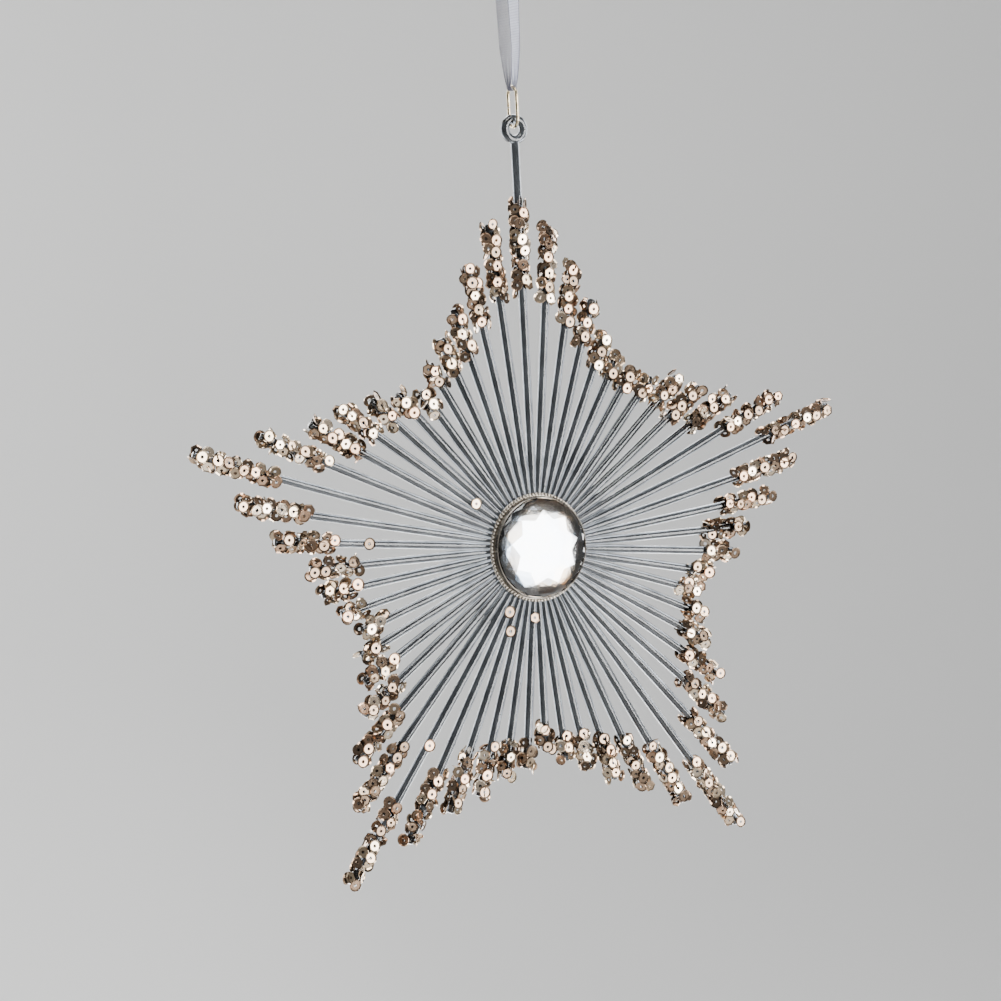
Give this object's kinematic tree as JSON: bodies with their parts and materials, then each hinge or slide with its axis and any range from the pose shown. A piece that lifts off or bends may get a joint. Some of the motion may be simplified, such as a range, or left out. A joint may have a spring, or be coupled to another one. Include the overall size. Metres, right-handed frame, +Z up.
{
  "type": "hanging starburst ornament",
  "caption": "Clear starburst of moulded rods in a pointed star outline, tipped with cup sequins, with a faceted gem at its hub, hung by an eye, a wire link and a ribbon loop.",
  "frame": {"origin": "middle of the hook that carries the ribbon loop", "axes": "+Z up along the hanging ribbon, the star's front with the gem faces -Y, +X to the right seen from the front"},
  "size_m": [0.1862, 0.0088, 0.248],
  "materials": {
    "clear_acrylic": "clear, glossy, moulded",
    "sequin_film": "champagne metallised film",
    "gem_crystal": "clear, faceted, polished",
    "gem_foil": "silver foil",
    "cup_metal": "bright plated, beaded",
    "link_wire": "pale gold plated wire",
    "satin_ribbon": "grey-lilac satin"
  },
  "bodies": {
    "hanger": {"ribbon_legs": "satin_ribbon", "ribbon_knot": "satin_ribbon"},
    "ribbon_end": {"ribbon_fold": "satin_ribbon"},
    "link": {"wire_link": "link_wire"},
    "star": {"clear_starburst": "clear_acrylic", "gem_cup": "cup_metal", "gem_foil": "gem_foil", "gem": "gem_crystal", "sequins_top_tip": "sequin_film", "sequins_top_left_flank": "sequin_film", "sequins_top_right_flank": "sequin_film", "sequins_valley_top_left": "sequin_film", "sequins_left_tip": "sequin_film", "sequins_left_left_flank": "sequin_film", "sequins_left_right_flank": "sequin_film", "sequins_valley_left_lower_left": "sequin_film", "sequins_lower_left_tip": "sequin_film", "sequins_lower_left_left_flank": "sequin_film", "sequins_lower_left_right_flank": "sequin_film", "sequins_valley_lower_left_lower_right": "sequin_film", "sequins_lower_right_tip": "sequin_film", "sequins_lower_right_left_flank": "sequin_film", "sequins_lower_right_right_flank": "sequin_film", "sequins_valley_lower_right_right": "sequin_film", "sequins_right_tip": "sequin_film", "sequins_right_left_flank": "sequin_film", "sequins_right_right_flank": "sequin_film", "sequins_valley_right_top": "sequin_film", "stray_sequins": "sequin_film"}
  },
  "joints": [
    {"name": "ribbon_twist", "type": "hinge", "parent": "hanger", "child": "ribbon_end", "pos_m": [0, 0, -0.025], "axis": [0, 0, 1], "range_deg": [-90, 90]},
    {"name": "link_swing", "type": "hinge", "parent": "ribbon_end", "child": "link", "pos_m": [0, 0, -0.037], "axis": [0, 1, 0], "range_deg": [-35, 35]},
    {"name": "star_rock", "type": "hinge", "parent": "link", "child": "star", "pos_m": [0, 0, -0.0449], "axis": [1, 0, 0], "range_deg": [-30, 30]}
  ]
}
